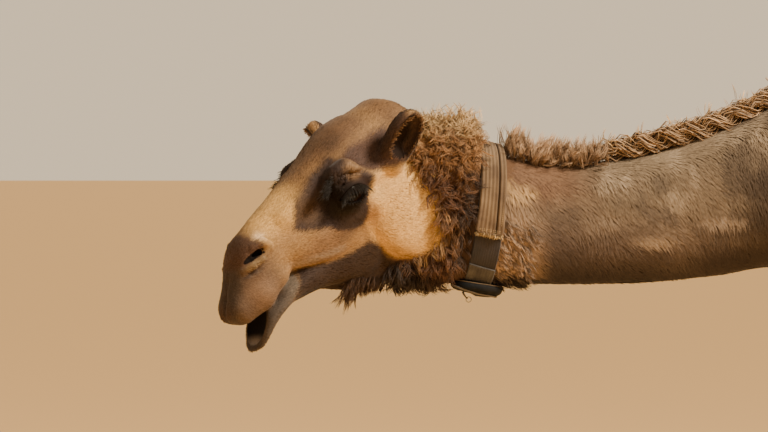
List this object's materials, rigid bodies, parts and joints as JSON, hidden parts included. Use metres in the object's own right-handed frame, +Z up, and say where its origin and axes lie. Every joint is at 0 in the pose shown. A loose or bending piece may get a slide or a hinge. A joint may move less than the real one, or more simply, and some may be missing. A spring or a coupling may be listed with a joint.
{
  "type": "dromedary camel",
  "caption": "Life-size standing dromedary camel, neck stretched forward and low, head turned to its left, mouth a little open, wearing a webbing collar.",
  "frame": {"origin": "on the floor, under the middle of the animal's whole length and width", "axes": "+Z up, the animal faces -X, its left side is toward -Y; the floor is z = 0"},
  "size_m": [2.899, 0.572, 2.112],
  "materials": {
    "coat": "short dense tan hair",
    "dark_coat": "long dark brown hair",
    "eye": "wet gloss",
    "nail": "worn horn",
    "webbing": "ribbed woven",
    "black_cloth": "woven matt",
    "steel": "worn"
  },
  "bodies": {
    "root": {"head": "coat", "jaw": "coat", "ear_left": "coat", "ear_right": "coat", "eye_left": "eye", "eye_right": "eye", "neck": "coat", "trunk": "coat", "hump": "coat", "tail": "dark_coat", "foreleg_left": "coat", "foreleg_right": "coat", "hindleg_left": "coat", "hindleg_right": "coat", "forefoot_left": "coat", "forefoot_right": "coat", "hindfoot_left": "coat", "hindfoot_right": "coat", "forefoot_left_nail_1": "nail", "forefoot_left_nail_2": "nail", "forefoot_right_nail_1": "nail", "forefoot_right_nail_2": "nail", "hindfoot_left_nail_1": "nail", "hindfoot_left_nail_2": "nail", "hindfoot_right_nail_1": "nail", "hindfoot_right_nail_2": "nail", "collar_band": "webbing", "collar_strap_end": "webbing", "collar_pouch": "black_cloth", "collar_ring": "steel"}
  },
  "joints": []
}
